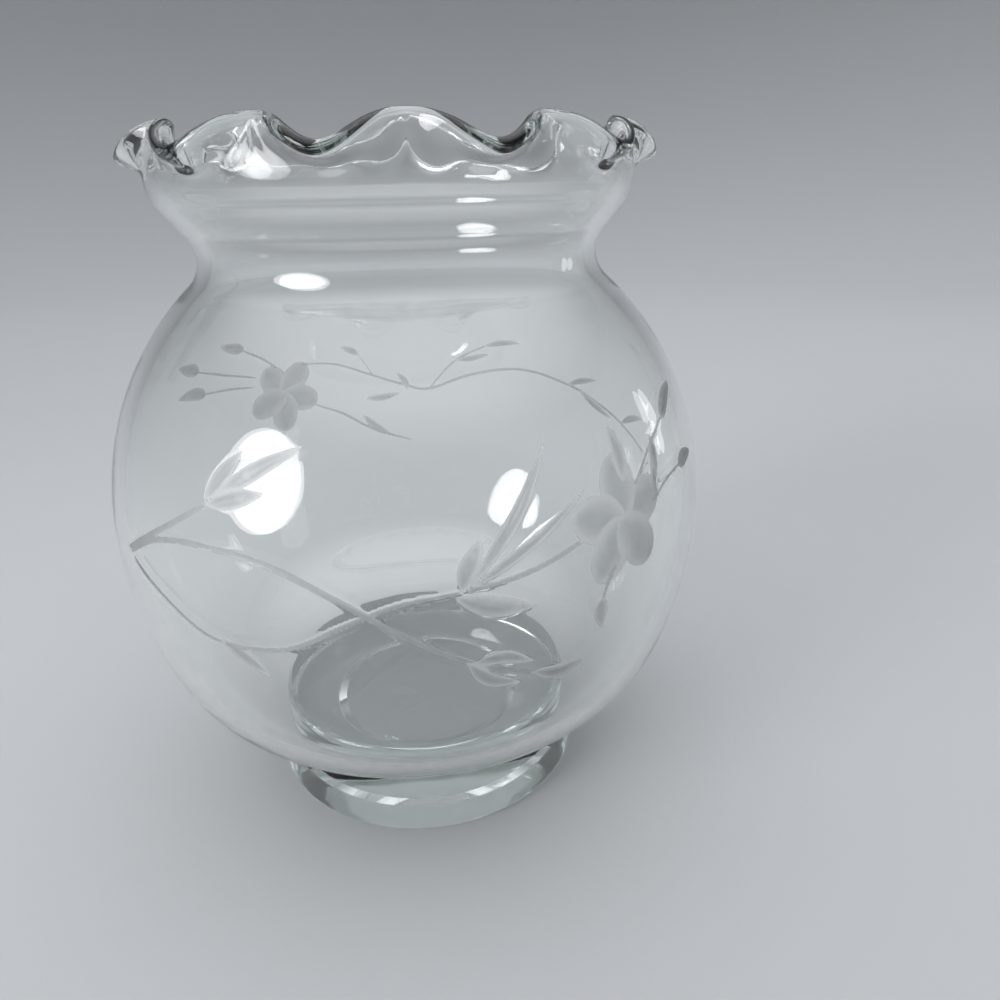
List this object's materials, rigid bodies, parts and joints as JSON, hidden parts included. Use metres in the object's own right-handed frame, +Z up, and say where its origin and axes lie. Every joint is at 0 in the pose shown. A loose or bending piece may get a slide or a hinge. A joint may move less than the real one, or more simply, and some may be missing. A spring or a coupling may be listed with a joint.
{
  "type": "rose bowl vase",
  "caption": "Round clear glass rose bowl vase on a thick solid foot, with a waisted neck and a crimped, wavy rim, to hold water and cut flowers.",
  "frame": {"origin": "centre of the foot's standing ring, on the surface that the vase stands on", "axes": "+Z up along the vase's axis; a crest of the crimped rim lies over each of +X, -X, +Y and -Y"},
  "size_m": [0.14, 0.14, 0.1592],
  "materials": {
    "bowl_glass": "clear, fire polished, with grey wheel-cut sprays",
    "foot_glass": "clear, fire polished, with a ground dish underneath"
  },
  "bodies": {
    "root": {"bowl": "bowl_glass", "foot": "foot_glass"}
  },
  "joints": []
}
